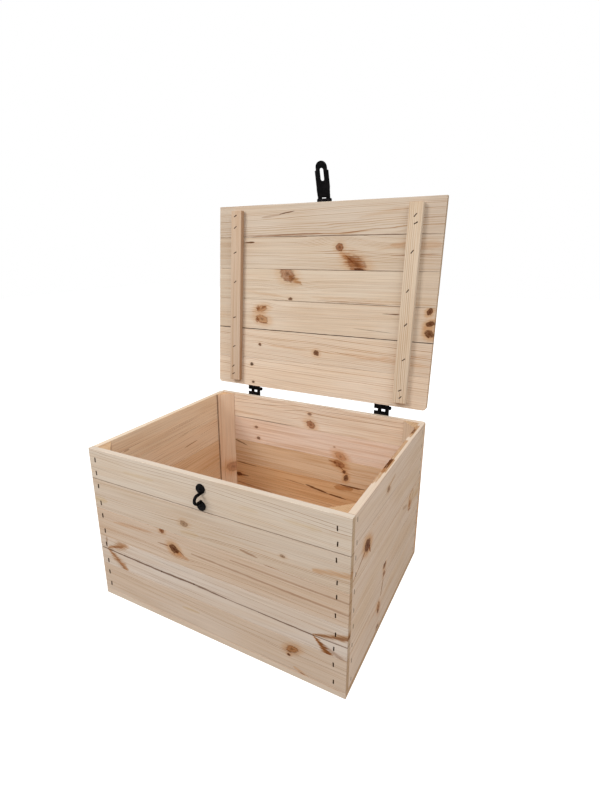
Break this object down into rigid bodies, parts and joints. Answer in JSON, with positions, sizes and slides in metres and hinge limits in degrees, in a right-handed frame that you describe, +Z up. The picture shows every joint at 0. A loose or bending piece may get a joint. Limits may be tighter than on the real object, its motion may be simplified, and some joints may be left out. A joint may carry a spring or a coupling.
{
  "type": "kindling box",
  "caption": "Pine storage box of stacked boards with a hinged boarded lid, shown open, and a slotted hasp that drops over an arched staple.",
  "frame": {"origin": "centre of the underside of the base, on the surface that the box stands on", "axes": "+Z up, +X to the right as seen from the front, front wall faces -Y, lid hinges along the back (+Y) edge"},
  "size_m": [0.5, 0.4726, 0.8099],
  "materials": {
    "wall_board": "planed untreated pine, matt",
    "base_board": "planed untreated pine, matt",
    "corner_post": "sawn pine, matt",
    "lid_board": "planed untreated pine, matt",
    "lid_batten": "planed untreated pine, matt",
    "black_ironmongery": "black satin coating",
    "crown_staple": "dull galvanised wire"
  },
  "bodies": {
    "box": {"base_board_1": "base_board", "base_board_2": "base_board", "base_board_3": "base_board", "base_board_4": "base_board", "base_board_5": "base_board", "front_board_1": "wall_board", "front_board_2": "wall_board", "front_board_3": "wall_board", "front_board_4": "wall_board", "front_board_5": "wall_board", "back_board_1": "wall_board", "back_board_2": "wall_board", "back_board_3": "wall_board", "back_board_4": "wall_board", "back_board_5": "wall_board", "left_board_1": "wall_board", "left_board_2": "wall_board", "left_board_3": "wall_board", "left_board_4": "wall_board", "left_board_5": "wall_board", "right_board_1": "wall_board", "right_board_2": "wall_board", "right_board_3": "wall_board", "right_board_4": "wall_board", "right_board_5": "wall_board", "corner_post_front_left": "corner_post", "corner_post_front_right": "corner_post", "corner_post_rear_right": "corner_post", "corner_post_rear_left": "corner_post", "hinge_box_leaf_left": "black_ironmongery", "hinge_box_leaf_right": "black_ironmongery", "hinge_pin_left": "black_ironmongery", "hinge_pin_right": "black_ironmongery", "hinge_box_screw_left_1": "black_ironmongery", "hinge_box_screw_left_2": "black_ironmongery", "hinge_box_screw_right_1": "black_ironmongery", "hinge_box_screw_right_2": "black_ironmongery", "hasp_staple": "black_ironmongery", "staple_screw_lower": "black_ironmongery", "staple_screw_upper": "black_ironmongery"},
    "lid": {"lid_board_1": "lid_board", "lid_board_2": "lid_board", "lid_board_3": "lid_board", "lid_board_4": "lid_board", "lid_board_5": "lid_board", "lid_board_6": "lid_board", "lid_batten_left": "lid_batten", "lid_batten_right": "lid_batten", "hinge_lid_leaf_left": "black_ironmongery", "hinge_lid_leaf_right": "black_ironmongery", "hinge_lid_screw_left_1": "black_ironmongery", "hinge_lid_screw_left_2": "black_ironmongery", "hinge_lid_screw_right_1": "black_ironmongery", "hinge_lid_screw_right_2": "black_ironmongery", "hasp_plate": "black_ironmongery", "hasp_pin": "black_ironmongery", "hasp_plate_screw_left": "black_ironmongery", "hasp_plate_screw_right": "black_ironmongery"},
    "hasp": {"hasp_strap": "black_ironmongery"}
  },
  "joints": [
    {"name": "lid_hinge", "type": "hinge", "parent": "box", "child": "lid", "pos_m": [0, 0.2102, 0.323], "axis": [1, 0, 0], "range_deg": [0, 94.7]},
    {"name": "hasp_hinge", "type": "hinge", "parent": "lid", "child": "hasp", "pos_m": [0, 0.24402, 0.73802], "axis": [1, 0, 0], "range_deg": [-182, 67.1]}
  ]
}
